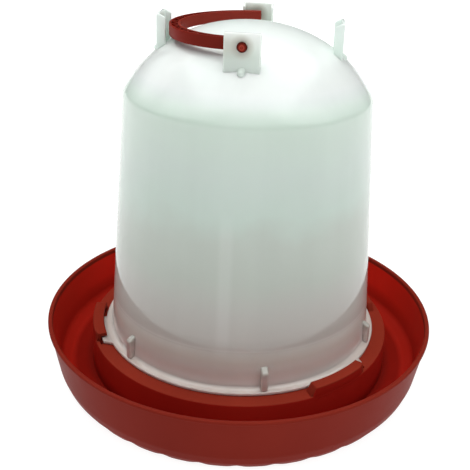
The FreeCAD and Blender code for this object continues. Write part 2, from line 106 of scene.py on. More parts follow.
# bell: ears
EAR_FACE, EAR_DEEP, EAR_SLOPE = 78.9, 8.0, math.radians(27)
EAR_PLATE, EAR_SIDE, EAR_SUNK, EAR_HOLE_R = 2.4, 2.2, 1.6, 3.05
KNOB_R, KNOB_BACK, KNOB_FRONT = 3.0, 1.4, 1.5

# handle and its studs: the strap's own bearings are from -X
STRAP_R, STRAP_ARM, STRAP_SHIFT = 69.5, 63.5, 3.5
STRAP_HALF, STRAP_RISE, STRAP_WALL, WEB_HALF = 4.95, 0.2, 1.9, 1.2
STRAP_REACH, ARM_FROM, ARM_TO, ARM_TIP = math.radians(84), math.radians(80), math.radians(90), 3.4
# slanting ribs between the strap's walls: count, bearing of the last, depth in a wall, half thickness, and
# how far they stay under the walls' edges
BRACES, BRACE_REACH, BRACE_SUNK, BRACE_HALF, BRACE_SHY = 22, math.radians(64), 1.5, 0.5, 0.8
STUD_FOOT, STUD_R, STUD_HEAD_R, STUD_DOME = 65.5, 3.0, 4.2, 2.85
DROOP = math.radians(1.2)


# ---- mesh helpers -----------------------------------------------------------------------------

STRAIGHT = 0.01         # a corner that turns by less, in radians, stays as it is
LARGEST_SHARE = 0.49    # the most that an arc may take of the shorter side at its corner
WELD = 1e-6             # points nearer than this, in metres, become one
SHARP = math.radians(35)    # an edge that turns by more is shaded sharp


def rounded(corners, steps):
    """Replace each (x, y, radius) corner of a closed outline by an arc of that radius."""
    points = []
    count = len(corners)
    for index, (x, y, radius) in enumerate(corners):
        here = Vector((x, y))
        before = Vector(corners[index - 1][:2])
        after = Vector(corners[(index + 1) % count][:2])
        to_before, to_after = (before - here), (after - here)
        room = LARGEST_SHARE * min(to_before.length, to_after.length)
        turn = to_before.angle(to_after, math.pi)
        if radius <= 0 or turn > math.pi - STRAIGHT:
            points.append(here)
            continue
        reach = min(radius / math.tan(turn / 2), room)
        size = reach * math.tan(turn / 2)
        start = here + to_before.normalized() * reach
        end = here + to_after.normalized() * reach
        middle = (to_before.normalized() + to_after.normalized()).normalized()
        centre = here + middle * (size / math.sin(turn / 2))
        first, last = start - centre, end - centre
        swing = first.angle_signed(last)
        for step in range(steps + 1):
            points.append(centre + Matrix.Rotation(-swing * step / steps, 2) @ first)
    return points


def new_object(name, mesh):
    piece = bpy.data.objects.new(name, mesh)
    bpy.context.scene.collection.objects.link(piece)
    return piece


def from_rings(name, rings, closed_way=False, closed_rings=True, caps=False):
    """Skin a list of point rings, in millimetres. closed_way joins the last ring to the first."""
    mesh = bpy.data.meshes.new(name)
    build = bmesh.new()
    made = [[build.verts.new(Vector(point) * MM) for point in ring] for ring in rings]
    ways = len(made) if closed_way else len(made) - 1
    around = len(made[0]) if closed_rings else len(made[0]) - 1
    for index in range(ways):
        here, there = made[index], made[(index + 1) % len(made)]
        for step in range(around):
            following = (step + 1) % len(here)
            corners = (here[step], there[step], there[following], here[following])
            unique = list(dict.fromkeys(corners))
            if len(unique) > 2:
                build.faces.new(unique)
    if caps:
        build.faces.new(made[0])
        build.faces.new(list(reversed(made[-1])))
    bmesh.ops.remove_doubles(build, verts=build.verts, dist=WELD)
    bmesh.ops.recalc_face_normals(build, faces=build.faces)
    build.to_mesh(mesh)
    build.free()
    return new_object(name, mesh)


def turned(name, outline, steps, shape=None):
    """Revolve a closed (radius, height) outline about the Z axis. shape may move each point."""
    rings = []
    for step in range(steps):
        angle = 2 * math.pi * step / steps
        ring = []
        for radius, height in outline:
            if shape:
                radius, height = shape(radius, height, angle)
            ring.append((radius * math.cos(angle), radius * math.sin(angle), height))
        rings.append(ring)
    return from_rings(name, rings, closed_way=True)


def arc_piece(name, outline, start, end, lean=None):
    """Sweep a closed (radius, height) outline from one bearing to another.
    lean gives the extra bearing of each point at the first end."""
    steps = max(6, int(abs(end - start) / 1.5))
    rings = []
    for step in range(steps + 1):
        bearing = start + (end - start) * step / steps
        leaning = lean if step == 0 else None
        rings.append([at_bearing(r, bearing + (leaning(r, z) if leaning else 0.0), z) for r, z in outline])
    return from_rings(name, rings, caps=True)


def at_bearing(radius, bearing, height):
    """A point at a bearing in degrees, from -Y towards +X."""
    angle = math.radians(bearing - 90)
    return radius * math.cos(angle), radius * math.sin(angle), height


def turn_to(bearing):
    """A turn about Z that brings a piece made along +X to a bearing."""
    return Matrix.Rotation(math.radians(bearing - 90), 4, "Z")


def soften(piece, width, segments=3, limit=40):
    """Round the sharp edges of a piece, and apply it."""
    bevel = piece.modifiers.new("round", "BEVEL")
    bevel.width, bevel.segments = width * MM, segments
    bevel.limit_method, bevel.angle_limit = "ANGLE", math.radians(limit)
    bevel.harden_normals = False
    apply_modifiers(piece)
    return piece


def apply_modifiers(piece):
    graph = bpy.context.evaluated_depsgraph_get()
    graph.update()
    mesh = bpy.data.meshes.new_from_object(piece.evaluated_get(graph))
    piece.modifiers.clear()
    old, piece.data = piece.data, mesh
    bpy.data.meshes.remove(old)


def join(name, pieces):
    """Join pieces into one new object, and remove them."""
    build = bmesh.new()
    for piece in pieces:
        piece.data.transform(piece.matrix_world)
        build.from_mesh(piece.data)
    mesh = bpy.data.meshes.new(name)
    build.to_mesh(mesh)
    build.free()
    for piece in pieces:
        bpy.data.objects.remove(piece)
    return new_object(name, mesh)


def boolean(piece, tool, operation):
    """Apply one exact boolean and delete the tool."""
    step = piece.modifiers.new("boolean", "BOOLEAN")
    step.operation, step.solver, step.object = operation, "EXACT", tool
    apply_modifiers(piece)
    bpy.data.objects.remove(tool)
    return piece


def box_mesh(name, low, high):
    """A plain block between two corners, used as raw material for rounding and cutting."""
    (left, front, bottom), (right, back, top) = low, high
    rings = [[(left, front, z), (right, front, z), (right, back, z), (left, back, z)] for z in (bottom, top)]
    return from_rings(name, rings, caps=True)


def smooth(piece):
    """Smooth shading that keeps sharp edges."""
    mesh = piece.data
    for face in mesh.polygons:
        face.use_smooth = True
    mesh.set_sharp_from_angle(angle=SHARP)


def finish_piece(piece, body, material, nodes):
    """Give a piece its material and body, and hide the CAD nodes that it stands for."""
    piece.data.materials.clear()
    piece.data.materials.append(material)
    smooth(piece)
    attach(piece, body)
    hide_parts(*nodes)
    return piece


# ---- materials --------------------------------------------------------------------------------

class Nodes:
    """Short calls for building one material's node tree. A mask is a value from nought to one."""

    def __init__(self, name):
        self.material = bpy.data.materials.new(name)
        self.material.use_nodes = True
        self.tree = self.material.node_tree
        self.shader = self.tree.nodes["Principled BSDF"]
        self.place = self.add("ShaderNodeTexCoord").outputs["Object"]

    def add(self, kind, **settings):
        node = self.tree.nodes.new(kind)
        for name, value in settings.items():
            setattr(node, name, value)
        return node

    def link(self, source, target):
        self.tree.links.new(source, target)

    def noise(self, scale, detail, stretch=None):
        node = self.add("ShaderNodeTexNoise")
        node.inputs["Scale"].default_value = scale
        node.inputs["Detail"].default_value = detail
        source = self.place
        if stretch:
            mapping = self.add("ShaderNodeMapping")
            mapping.inputs["Scale"].default_value = stretch
            self.link(self.place, mapping.inputs["Vector"])
            source = mapping.outputs["Vector"]
        self.link(source, node.inputs["Vector"])
        return node.outputs["Fac"]

    def ramp(self, source, stops):
        """A colour or value ramp. stops are (position, colour)."""
        node = self.add("ShaderNodeValToRGB")
        elements = node.color_ramp.elements
        while len(elements) < len(stops):
            elements.new(0.5)
        for element, (position, colour) in zip(elements, stops):
            element.position = position
            element.color = (*colour, 1.0)
        self.link(source, node.inputs["Fac"])
        return node.outputs["Color"]

    def mix(self, factor, first, second, blend="MIX"):
        node = self.add("ShaderNodeMix", data_type="RGBA", blend_type=blend)
        if isinstance(factor, float):
            node.inputs["Factor"].default_value = factor
        else:
            self.link(factor, node.inputs["Factor"])
        for value, name in ((first, "A"), (second, "B")):
            socket = [item for item in node.inputs if item.name == name and item.type == "RGBA"][0]
            if isinstance(value, tuple):
                socket.default_value = (*value, 1.0)
            else:
                self.link(value, socket)
        return [item for item in node.outputs if item.type == "RGBA"][0]

    def range(self, source, low, high, from_low=0.0, from_high=1.0):
        node = self.add("ShaderNodeMapRange")
        node.inputs["From Min"].default_value = from_low
        node.inputs["From Max"].default_value = from_high
        node.inputs["To Min"].default_value = low
        node.inputs["To Max"].default_value = high
        self.link(source, node.inputs["Value"])
        return node.outputs["Result"]

    def math(self, operation, first, second):
        node = self.add("ShaderNodeMath", operation=operation)
        self.link(first, node.inputs[0])
        self.link(second, node.inputs[1])
        return node.outputs["Value"]

    def both(self, first, second):
        """Where two masks overlap."""
        return self.math("MULTIPLY", first, second)

    def either(self, first, second):
        """Where at least one of two masks is set."""
        return self.math("MAXIMUM", first, second)

    def above(self, source, edge):
        """A mask that rises from nought to one across an edge: its start and end, in millimetres."""
        return self.range(source, 0.0, 1.0, edge[0] * MM, edge[1] * MM)

    def below(self, source, edge):
        """A mask that falls from one to nought across an edge: its start and end, in millimetres."""
        return self.range(source, 1.0, 0.0, edge[0] * MM, edge[1] * MM)

    def band(self, source, between, soft):
        """A mask that is one between two values, with soft edges, all in millimetres."""
        low, high = between
        rise = self.above(source, (low - soft, low + soft))
        return self.both(rise, self.below(source, (high - soft, high + soft)))

    def tint(self, base, colour):
        """The base multiplied by a colour or by another tone."""
        return self.mix(1.0, base, colour, "MULTIPLY")

    def tint_where(self, mask, base, colour):
        """The base, multiplied by a colour where the mask is set."""
        return self.mix(mask, base, self.tint(base, colour))

    def across(self):
        """Distances along X and Y in a piece's own frame, in metres."""
        node = self.add("ShaderNodeSeparateXYZ")
        self.link(self.place, node.inputs["Vector"])
        return node.outputs["X"], node.outputs["Y"]

    def height(self):
        """Height above the floor in a piece's own frame, in metres."""
        node = self.add("ShaderNodeSeparateXYZ")
        self.link(self.place, node.inputs["Vector"])
        return node.outputs["Z"]

    def length(self, scale=(1.0, 1.0, 1.0), shift=(0.0, 0.0, 0.0)):
        """Length of the place, after a scale and a shift along each axis, in metres."""
        moved = self.add("ShaderNodeVectorMath", operation="MULTIPLY_ADD")
        moved.inputs[1].default_value = scale
        moved.inputs[2].default_value = shift
        self.link(self.place, moved.inputs[0])
        node = self.add("ShaderNodeVectorMath", operation="LENGTH")
        self.link(moved.outputs["Vector"], node.inputs[0])
        return node.outputs["Value"]

    def radius(self):
        """Distance from the tank's axis, in metres."""
        return self.length(scale=(1.0, 1.0, 0.0))

    def from_pivot(self):
        """Distance from the handle's pivot line, in metres."""
        return self.length(scale=(1.0, 0.0, 1.0), shift=(0.0, 0.0, -PIVOT * MM))

    def set(self, **values):
        """Set the shader's own sockets. A name's underscores stand for spaces."""
        for name, value in values.items():
            self.shader.inputs[name.replace("_", " ")].default_value = value

    def bump(self, height, strength, distance):
        node = self.add("ShaderNodeBump")
        node.inputs["Strength"].default_value = strength
        node.inputs["Distance"].default_value = distance
        self.link(height, node.inputs["Height"])
        self.link(node.outputs["Normal"], self.shader.inputs["Normal"])


# Colours are linear, as (red, green, blue). Each red is (dark, usual, light), for its flow clouds.
# Edges between two tones are (start, end) heights, radii or distances, in millimetres.

HANDLE_REDS = ((0.208, 0.017, 0.011), (0.225, 0.019, 0.013), (0.242, 0.022, 0.014))
# painted shade on the arms' outer sides, and painted light on the strap's inner side
HANDLE_OUTSIDE, HANDLE_OUTSIDE_SHADE = (STRAP_R - 1.3, STRAP_R - 0.5), (0.80, 1.0, 1.0)
HANDLE_INSIDE, HANDLE_INSIDE_LIGHT = (STRAP_ARM + 1.0, STRAP_ARM + 2.0), (1.10, 1.60, 1.70)
HANDLE_ARMS = (-58.0, -35.0)

# the tray's usual red; the trough's deeper red is painted shade and red bounce light, with more painted shade
# on its floor and the ring's side, and painted light up its wall, most at the far side
USUAL_TRAY_REDS = ((0.211, 0.019, 0.012), (0.226, 0.021, 0.013), (0.240, 0.023, 0.014))
TROUGH_SHADED_REDS = ((0.40, 0.014, 0.008), (0.43, 0.016, 0.009), (0.46, 0.018, 0.011))
OFF_FLOOR_Z, OFF_FLOOR_R, FLOOR_SHADE_TINT = (10.0, 20.0), (155.0, 161.0), (0.54, 0.48, 0.48)
WALL_LEAN, WALL_MIDDLE = 10.8, (166.9, 167.5)
TROUGH_SHADE_HEIGHTS, TROUGH_SHADE_SOFT = (6.8, 50.0), 0.6
KEEPER_SIDE_Z, KEEPER_SIDE_SOFT, KEEPER_SIDE_R = (40.2, 46.6), 0.4, (139.1, 139.6)
KEEPER_FOOT_Z, KEEPER_FOOT_R = (40.4, 40.8), (139.82, 139.90)
SHELF_EDGE_Z, RING_TOP_LIGHT_TINT = (38.8, 39.4), (1.20, 1.35, 1.20)
RING_EDGE_R, TROUGH_EDGE_R = (143.0, 148.0), (145.0, 150.0)
RING_SIDE_SHADE_TINT = (0.84, 1.0, 1.1)
WALL_Z, WALL_R, WALL_LIGHT_TINT = (18.0, 30.0), (157.0, 162.0), (1.18, 1.30, 1.30)
FAR_Y, FAR_LIGHT_TINT = (20.0, 100.0), (1.40, 1.1, 1.1)

STUD_REDS = ((0.23, 0.018, 0.012), (0.25, 0.020, 0.013), (0.27, 0.023, 0.014))
# painted light and shade from the middle of a stud's head to its rim: dimple, dome, painted glint, slope and
# the painted dark rim
STUD_SPAN = 4.4
STUD_LIGHT_AND_SHADE = ((0.0, (1.7, 4.0, 4.0)), (0.18, (0.9, 1.0, 1.0)), (0.36, (1.6, 3.0, 3.0)),
              (0.60, (0.70, 0.9, 0.9)), (0.86, (0.28, 0.45, 0.5)))

HANDLE_ROUGH, TRAY_ROUGH, STUD_ROUGH = 0.30, 0.40, 0.30

# colour of the tank's plastic by height in millimetres, with painted light and shade: red light from the tray
# painted into its lower part, darker low down, a darker band above the seam, and painted light whitening the
# crown
TANK_SHADED_TONES = (
    (40.0, (0.44, 0.31, 0.27)), (43.0, (0.74, 0.64, 0.61)), (46.0, (0.88, 0.80, 0.77)),
    (50.0, (0.90, 0.79, 0.76)), (54.0, (0.88, 0.76, 0.72)), (60.0, (0.79, 0.71, 0.67)),
    (66.0, (0.71, 0.65, 0.60)), (75.5, (0.68, 0.66, 0.62)), (77.2, (0.67, 0.64, 0.61)),
    (79.0, (0.57, 0.53, 0.50)), (84.5, (0.56, 0.53, 0.50)), (87.5, (0.58, 0.55, 0.52)),
    (110.0, (0.57, 0.56, 0.53)), (135.0, (0.56, 0.60, 0.55)), (165.0, (0.59, 0.64, 0.59)),
    (190.0, (0.63, 0.73, 0.67)), (220.0, (0.66, 0.75, 0.70)), (265.0, (0.69, 0.80, 0.72)),
    (275.0, (0.84, 0.95, 0.87)), (285.0, (0.93, 1.00, 0.98)), (330.0, (0.92, 0.98, 0.95)),
)
# the buttresses' tones by height, painted shade: darker than the wall behind them, lightest about 53 mm up
BUTTRESS_SHADED_TONES = ((41.0, (0.64, 0.57, 0.54)), (53.0, (0.76, 0.68, 0.65)), (58.0, (0.60, 0.55, 0.51)),
                  (66.0, (0.52, 0.49, 0.46)))
# tones by height of the pierced front and back ears, with painted shade, and of the side ears, with painted
# light
EAR_SHADED_TONES = ((296.0, (0.68, 0.74, 0.70)), (312.0, (0.70, 0.76, 0.71)), (330.0, (0.95, 0.97, 0.94)))
SIDE_EAR_LIT_TONES = ((296.0, (0.76, 0.84, 0.79)), (330.0, (0.86, 0.92, 0.89)))
# painted shade and red light from the tray on the flange's outer edge, and on the buttresses where they reach
# as far out; LUG_SHADE is more painted shade on the lugs
TANK_EDGE_SHADE, BUTTRESS_EDGE_SHADE = (0.61, 0.51, 0.49), (0.68, 0.58, 0.56)
EDGE_R, LUG_EDGE_R, LUG_SHADE = (FLANGE_R - 1.3, FLANGE_R - 0.5), (FLANGE_R + 0.8, FLANGE_R + 2.5), 0.88
# roughness on the wall and on the crown, and the heights between which it changes
TANK_ROUGH, BUTTRESS_ROUGH, EAR_ROUGH, CROWN_EDGE = (0.06, 0.22), (0.15, 0.15), (0.20, 0.20), (255.0, 290.0)
# how far light soaks into the plastic, in metres
TANK_SOAK, EAR_SOAK = (0.004, 0.004, 0.004), (0.003, 0.003, 0.003)
# the tones drift up and down a little between these heights
DRIFT, DRIFT_FROM, DRIFT_TO = 30.0, (100.0, 180.0), (225.0, 260.0)
# the pale upright stripe on the tank's front
STRIPE_X, STRIPE_SOFT, STRIPE_Z, STRIPE_FADE = (-9.0, 1.0), 2.0, (78.0, 188.0), 10.0
STRIPE_FRONT, STRIPE_STRENGTH = (-60.0, -50.0), 0.09
# painted shadow of the red arm behind an ear, which shows through it: round the stud, where this share of the
# ear's own tone is left, and along the arm towards -X
ARM_SHADOW_TINT, PIN_SHARE, PIN_EDGE = (0.52, 0.49, 0.43), 0.3, (4.0, 10.0)
ARM_STRENGTH, ARM_X, ARM_HALF, ARM_SOFT = 0.45, (1.0, 10.0), 7.0, 4.0


def red_base(nodes, reds):
    """Moulded polypropylene: faint flow clouds and streaks."""
    dark, usual, light = reds
    clouds = nodes.noise(9.0, 4.0)
    streaks = nodes.noise(14.0, 3.0, stretch=(1.0, 1.0, 0.18))
    base = nodes.ramp(clouds, [(0.32, dark), (0.5, usual), (0.68, light)])
    tone = nodes.ramp(streaks, [(0.35, (0.93, 0.93, 0.93)), (0.65, (1.0, 1.0, 1.0))])
    return nodes.tint(base, tone)


def finish_red(nodes, base, rough):
    """Fine surface grain and slightly uneven gloss."""
    nodes.link(base, nodes.shader.inputs["Base Color"])
    nodes.link(nodes.range(nodes.noise(60.0, 3.0), rough - 0.05, rough + 0.07),
               nodes.shader.inputs["Roughness"])
    nodes.bump(nodes.noise(900.0, 2.0), 0.10, 0.0006)
    nodes.set(IOR=1.49, Specular_IOR_Level=0.02, Specular_Tint=(1.0, 0.55, 0.45, 1.0))
    nodes.set(Subsurface_Weight=0.06, Subsurface_Radius=(0.004, 0.001, 0.0008), Subsurface_Scale=1.0)
    return nodes.material


def handle_plastic():
    """The handle's red, with painted shade on the arms' outer sides and painted light on their inner sides.
    """
    nodes = Nodes("handle_red_pp")
    red = red_base(nodes, HANDLE_REDS)
    arms = nodes.above(nodes.across()[0], HANDLE_ARMS)
    outside = nodes.both(nodes.above(nodes.radius(), HANDLE_OUTSIDE), arms)
    base = nodes.tint_where(outside, red, HANDLE_OUTSIDE_SHADE)
    inside = nodes.below(nodes.radius(), HANDLE_INSIDE)
    base = nodes.mix(inside, base, nodes.tint(red, HANDLE_INSIDE_LIGHT))
    return finish_red(nodes, base, HANDLE_ROUGH)


def tray_plastic():
    """The tray's red: deep in the trough, with painted shade and red bounce light, duller outside and on the
    ring's top.
    """
    nodes = Nodes("tray_red_pp")
    height, radius = nodes.height(), nodes.radius()
    trough_shade = trough_shaded_red(nodes, height, radius)
    usual_red = red_base(nodes, USUAL_TRAY_REDS)
    # painted light on the ring's top
    top = nodes.both(nodes.above(height, SHELF_EDGE_Z), nodes.below(radius, RING_EDGE_R))
    usual_red = nodes.tint_where(top, usual_red, RING_TOP_LIGHT_TINT)
    # inside the trough: inwards of the middle of the leaning wall, and over the floor
    lean = nodes.math("SUBTRACT", radius, nodes.range(height, 0.0, WALL_LEAN * MM, 0.0, RIM_Z * MM))
    trough = nodes.both(nodes.below(lean, WALL_MIDDLE), nodes.band(height, TROUGH_SHADE_HEIGHTS, TROUGH_SHADE_SOFT))
    # the trough's painted shade also covers the ring's outer side and the side of each keeper, but not the
    # top of either
    side = nodes.both(nodes.band(height, KEEPER_SIDE_Z, KEEPER_SIDE_SOFT), nodes.above(radius, KEEPER_SIDE_R))
    foot = nodes.both(nodes.below(height, KEEPER_FOOT_Z), nodes.above(radius, KEEPER_FOOT_R))
    ring = nodes.either(nodes.below(height, SHELF_EDGE_Z), nodes.either(side, foot))
    in_trough_shade = nodes.either(ring, nodes.above(radius, TROUGH_EDGE_R))
    return finish_red(nodes, nodes.mix(nodes.both(trough, in_trough_shade), usual_red, trough_shade), TRAY_ROUGH)


def trough_shaded_red(nodes, height, radius):
    """The red inside the trough, painted shade and red bounce light: darkest on the floor, with painted light
    up the wall, most at the far side.
    """
    trough_shade = red_base(nodes, TROUGH_SHADED_REDS)
    off_floor = nodes.either(nodes.above(height, OFF_FLOOR_Z), nodes.above(radius, OFF_FLOOR_R))
    trough_shade = nodes.mix(off_floor, nodes.tint(trough_shade, FLOOR_SHADE_TINT), trough_shade)
    trough_shade = nodes.tint_where(nodes.below(radius, RING_EDGE_R), trough_shade, RING_SIDE_SHADE_TINT)
    wall = nodes.both(nodes.above(height, WALL_Z), nodes.above(radius, WALL_R))
    trough_shade = nodes.tint_where(wall, trough_shade, WALL_LIGHT_TINT)
    far = nodes.both(wall, nodes.above(nodes.across()[1], FAR_Y))
    return nodes.tint_where(far, trough_shade, FAR_LIGHT_TINT)


def stud_plastic():
    """The stud's red, with painted shade round the rim of its head and a painted glint on its dome."""
    nodes = Nodes("stud_red_pp")
    tint = nodes.ramp(nodes.above(nodes.from_pivot(), (0.0, STUD_SPAN)), STUD_LIGHT_AND_SHADE)
    return finish_red(nodes, nodes.tint(red_base(nodes, STUD_REDS), tint), STUD_ROUGH)


def milky_plastic(name, tones, rough, soak, edge=None, arm_shadowed=False):
    """Natural polyethylene: light soaks through it, with flow clouds and faint vertical draw lines."""
    nodes = Nodes(name)
    base = shaded_by_height(nodes, tones)
    if arm_shadowed:
        base = shaded_by_arm(nodes, base)
    if edge:
        # the ears have no part of the flange's edge or of the stripe
        rim = nodes.above(nodes.radius(), EDGE_R)
        lug = nodes.above(nodes.radius(), LUG_EDGE_R)
        # painted shade on the flange's edge, deeper on the lugs
        base = nodes.mix(rim, base, nodes.mix(lug, edge, tuple(LUG_SHADE * part for part in edge)))
        base = striped(nodes, base)
    clouds = nodes.ramp(nodes.noise(7.0, 4.0), [(0.3, (0.965, 0.965, 0.965)), (0.6, (1.0, 1.0, 1.0))])
    lines = nodes.noise(30.0, 3.0, stretch=(1.0, 1.0, 0.06))
    tone = nodes.ramp(lines, [(0.35, (0.965, 0.965, 0.965)), (0.65, (1.0, 1.0, 1.0))])
    nodes.link(nodes.tint(nodes.tint(base, clouds), tone), nodes.shader.inputs["Base Color"])
    by_height = nodes.range(nodes.height(), rough[0], rough[1], CROWN_EDGE[0] * MM, CROWN_EDGE[1] * MM)
    uneven = nodes.range(nodes.noise(45.0, 3.0), -0.02, 0.03)
    nodes.link(nodes.math("ADD", by_height, uneven), nodes.shader.inputs["Roughness"])
    nodes.bump(nodes.noise(120.0, 2.0), 0.05, 0.0008)
    nodes.set(IOR=1.51, Subsurface_Weight=1.0, Subsurface_Radius=soak, Subsurface_Scale=1.0)
    return nodes.material


def shaded_by_height(nodes, tones):
    """A ramp of tones by height, holding painted light and shade, which drift up and down a little from place
    to place above the base.
    """
    low, high = tones[0][0], tones[-1][0]
    height = nodes.height()
    where = nodes.both(nodes.above(height, DRIFT_FROM), nodes.below(height, DRIFT_TO))
    drift = nodes.both(nodes.range(nodes.noise(16.0, 3.0), -DRIFT * MM, DRIFT * MM), where)
    level = nodes.above(nodes.math("ADD", height, drift), (low, high))
    return nodes.ramp(level, [((z - low) / (high - low), colour) for z, colour in tones])


def shaded_by_arm(nodes, body):
    """The painted shadow where the red arm behind an ear shows through."""
    pin = nodes.range(nodes.from_pivot(), PIN_SHARE, 1.0, PIN_EDGE[0] * MM, PIN_EDGE[1] * MM)
    body = nodes.mix(pin, ARM_SHADOW_TINT, body)
    beside = nodes.range(nodes.across()[0], ARM_STRENGTH, 0.0, ARM_X[0] * MM, ARM_X[1] * MM)
    level = nodes.band(nodes.height(), (PIVOT - ARM_HALF, PIVOT + ARM_HALF), ARM_SOFT)
    return nodes.mix(nodes.both(beside, level), body, ARM_SHADOW_TINT)


def striped(nodes, base):
    """A faint pale upright stripe on the front."""
    x, y = nodes.across()
    level = nodes.band(nodes.height(), STRIPE_Z, STRIPE_FADE)
    stripe = nodes.both(nodes.band(x, STRIPE_X, STRIPE_SOFT), level)
    front = nodes.range(y, STRIPE_STRENGTH, 0.0, STRIPE_FRONT[0] * MM, STRIPE_FRONT[1] * MM)
    return nodes.mix(nodes.both(stripe, front), base, (1.0, 1.0, 1.0))


TRAY_RED = tray_plastic()
HANDLE_RED = handle_plastic()
STUD_RED = stud_plastic()
TANK_WHITE = milky_plastic("tank_natural_pe", TANK_SHADED_TONES, TANK_ROUGH, TANK_SOAK, TANK_EDGE_SHADE)
BUTTRESS_WHITE = milky_plastic("buttress_natural_pe", BUTTRESS_SHADED_TONES, BUTTRESS_ROUGH, TANK_SOAK,
                               BUTTRESS_EDGE_SHADE)
SHADED_EAR_WHITE = milky_plastic("ear_natural_pe", EAR_SHADED_TONES, EAR_ROUGH, EAR_SOAK, arm_shadowed=True)
LIT_SIDE_EAR_WHITE = milky_plastic("side_ear_natural_pe", SIDE_EAR_LIT_TONES, EAR_ROUGH, EAR_SOAK)


# ---- tray -------------------------------------------------------------------------------------

def make_tray():
    """The dish: floor, foot, flared outer wall and beaded rim."""
    bead = RIM_Z - BEAD_DEPTH
    corners = [
        (0.0, TRAY_UNDER, 0), (FOOT_R - WALL + 2, TRAY_UNDER, 1.5),
        (FOOT_R - WALL, 0.0, 0.8), (FOOT_R, 0.0, 1.2), (FOOT_R + 4.2, 6.0, 6.0), (KNEE_R, KNEE_Z, 18.0),
        (RIM_R - BEAD_OUT, bead, 0.5), (RIM_R, bead + 0.6, 0.8), (RIM_R, RIM_Z, 1.6),
        (RIM_R - BEAD_WIDTH, RIM_Z, 1.4), (RIM_R - BEAD_WIDTH - 0.5, bead - 1.0, 1.0),
        (KNEE_R - WALL, KNEE_Z + 1, 9.0), (FOOT_R - 4.5, FLOOR_Z, 8.0), (0.0, FLOOR_Z, 0),
    ]
    dish = turned("tray_dish_moulding", rounded(corners, 6), 12 * SCALLOPS, scallop)
    return finish_piece(dish, "tray", TRAY_RED, ["tray_dish"])


def scallop(radius, height, angle):
    """Wide feet round the wall's lower edge, with shallow notches between them."""
    low = max(0.0, 1.0 - height / SCALLOP_HIGH)
    notch = (0.5 + 0.5 * math.cos(SCALLOPS * angle)) ** 4
    outside = 1.0 if radius > FOOT_R - WALL - 1 else 0.0
    return radius, height + outside * low * SCALLOP_DEPTH * notch


def make_foot_ribs():
    """Radial ribs and two hoops under the floor."""
    ribs = []
    for number in range(FOOT_RIBS):
        rib = box_mesh("rib", (RIB_INNER, -RIB_HALF, 0.0), (FOOT_R - WALL - 0.2, RIB_HALF, RIB_TOP))
        rib.data.transform(turn_to(360 / FOOT_RIBS * (number + 0.5)))
        ribs.append(soften(rib, 0.6))
    for radius in HOOP_RADII:
        inner, outer = radius - HOOP_HALF, radius + HOOP_HALF
        outline = [(inner, HOOP_LOW, 0.5), (outer, HOOP_LOW, 0.5), (outer, RIB_TOP, 0), (inner, RIB_TOP, 0)]
        ribs.append(turned("hoop", rounded(outline, 3), 180))
    under = join("tray_foot_rib_moulding", ribs)
    return finish_piece(under, "tray", TRAY_RED, ["tray_foot_ribs"])


def make_locking_ring():
    """A shelf on a ring wall, with three keepers, a slot at each keeper's tip, and two stop blocks."""
    under, inner, foot = SHELF_Z - SHELF_THICK, SHELF_R - WALL, FLOOR_Z - RING_SUNK
    base = rounded([
        (SHELF_R + 0.6, foot, 0), (SHELF_R, SHELF_Z, 1.0), (RING_BORE, SHELF_Z, 0.8),
        (RING_BORE, under, 0.5), (inner, under, 1.0), (inner, foot, 0),
    ], 4)
    slot = [(SLOT_IN, under - 1), (SLOT_OUT, under - 1), (SLOT_OUT, SHELF_Z + 1), (SLOT_IN, SHELF_Z + 1)]
    tip = KEEPER_START + KEEPER_SPAN
    slots = [arc_piece("slot", slot, tip + THIRD * n, tip + THIRD * n + SLOT_SPAN) for n in range(3)]
    pieces = [boolean(turned("ring", base, 288), join("slots", slots), "DIFFERENCE")]
    pieces += [keeper(KEEPER_START + THIRD * n) for n in range(3)]
    pieces += [stop_block(THIRD * n) for n in range(2)]
    ring = join("tray_locking_ring_moulding", pieces)
    return finish_piece(ring, "tray", TRAY_RED, ["tray_locking_ring"])


def stop_block(turn):
    """A block on the shelf whose first end leans."""
    low = SHELF_Z - RING_SUNK
    outline = [(BLOCK_R + 0.3, low), (BLOCK_R, RING_TOP), (BLOCK_BORE, RING_TOP), (BLOCK_BORE, low)]
    block = arc_piece("block", outline, BLOCK_START + turn, BLOCK_END + turn,
                      lean=lambda r, z: -BLOCK_LEAN if z < SHELF_Z else 0.0)
    return soften(block, 0.9, limit=50)


def keeper(start):
    """An arched keeper: its first end is solid and leans, and the rest is hollowed into a pocket."""
    low, base, under = SHELF_Z - 4.0, SHELF_Z - 0.6, RING_TOP - LIP_THICK
    middle = (LIP_R + POCKET_R) / 2
    outside = [(SHELF_R + 0.1, low), (KEEPER_R + 0.05, RING_TOP), (LIP_R, RING_TOP)]
    inside = [(POCKET_R, base), (SHELF_R - 2.0, base), (SHELF_R - 2.0, low)]
    solid = outside + [(LIP_R, base), (middle, base)] + inside
    arch = outside + [(LIP_R, under), (POCKET_R, under)] + inside
    rings = [[at_bearing(r, start - (KEEPER_LEAN if z < RING_TOP else 0.0), z) for r, z in solid],
             [at_bearing(r, start + KEEPER_CHEEK, z) for r, z in solid]]
    steps = 16
    for step in range(steps + 1):
        share = step / steps
        bearing = start + POCKET_START + (KEEPER_SPAN - POCKET_START) * share
        # the upper outer edge draws in at the tip
        draw = TIP_DRAW * max(0.0, (share - TIP_FROM) / (1 - TIP_FROM)) ** 2
        rings.append([at_bearing(r - (draw if r > KEEPER_R and z == RING_TOP else 0.0), bearing, z)
                      for r, z in arch])
    return soften(from_rings("keeper", rings, caps=True), 0.8, limit=50)


# ---- bell -------------------------------------------------------------------------------------

